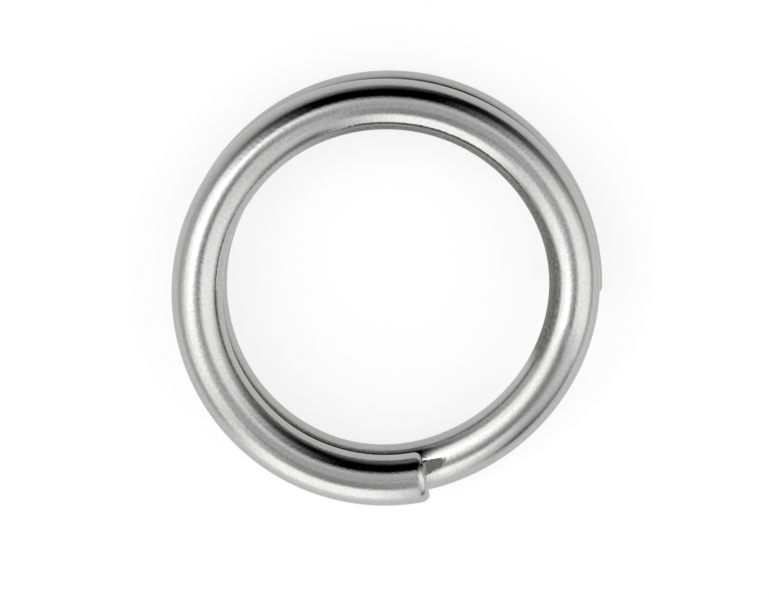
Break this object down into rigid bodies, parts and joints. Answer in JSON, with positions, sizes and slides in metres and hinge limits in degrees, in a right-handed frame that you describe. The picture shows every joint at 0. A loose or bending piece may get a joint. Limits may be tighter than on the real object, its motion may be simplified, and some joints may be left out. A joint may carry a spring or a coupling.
{
  "type": "split ring",
  "caption": "Split ring of polished round steel wire, wound into overlapping flat turns that spring apart to thread onto loops, links and small hardware.",
  "frame": {"origin": "under the middle of the ring's outline, on the surface that the lower turn lies on", "axes": "+Z along the axis of the coil, from the lower turn to the upper one; seen from above, the open sector between the two ends lies 40 degrees clockwise from +X"},
  "size_m": [0.0098, 0.01, 0.0023],
  "materials": {
    "steel_wire": "stainless steel, tumbled to a polish"
  },
  "bodies": {
    "root": {"wound_wire": "steel_wire"}
  },
  "joints": []
}
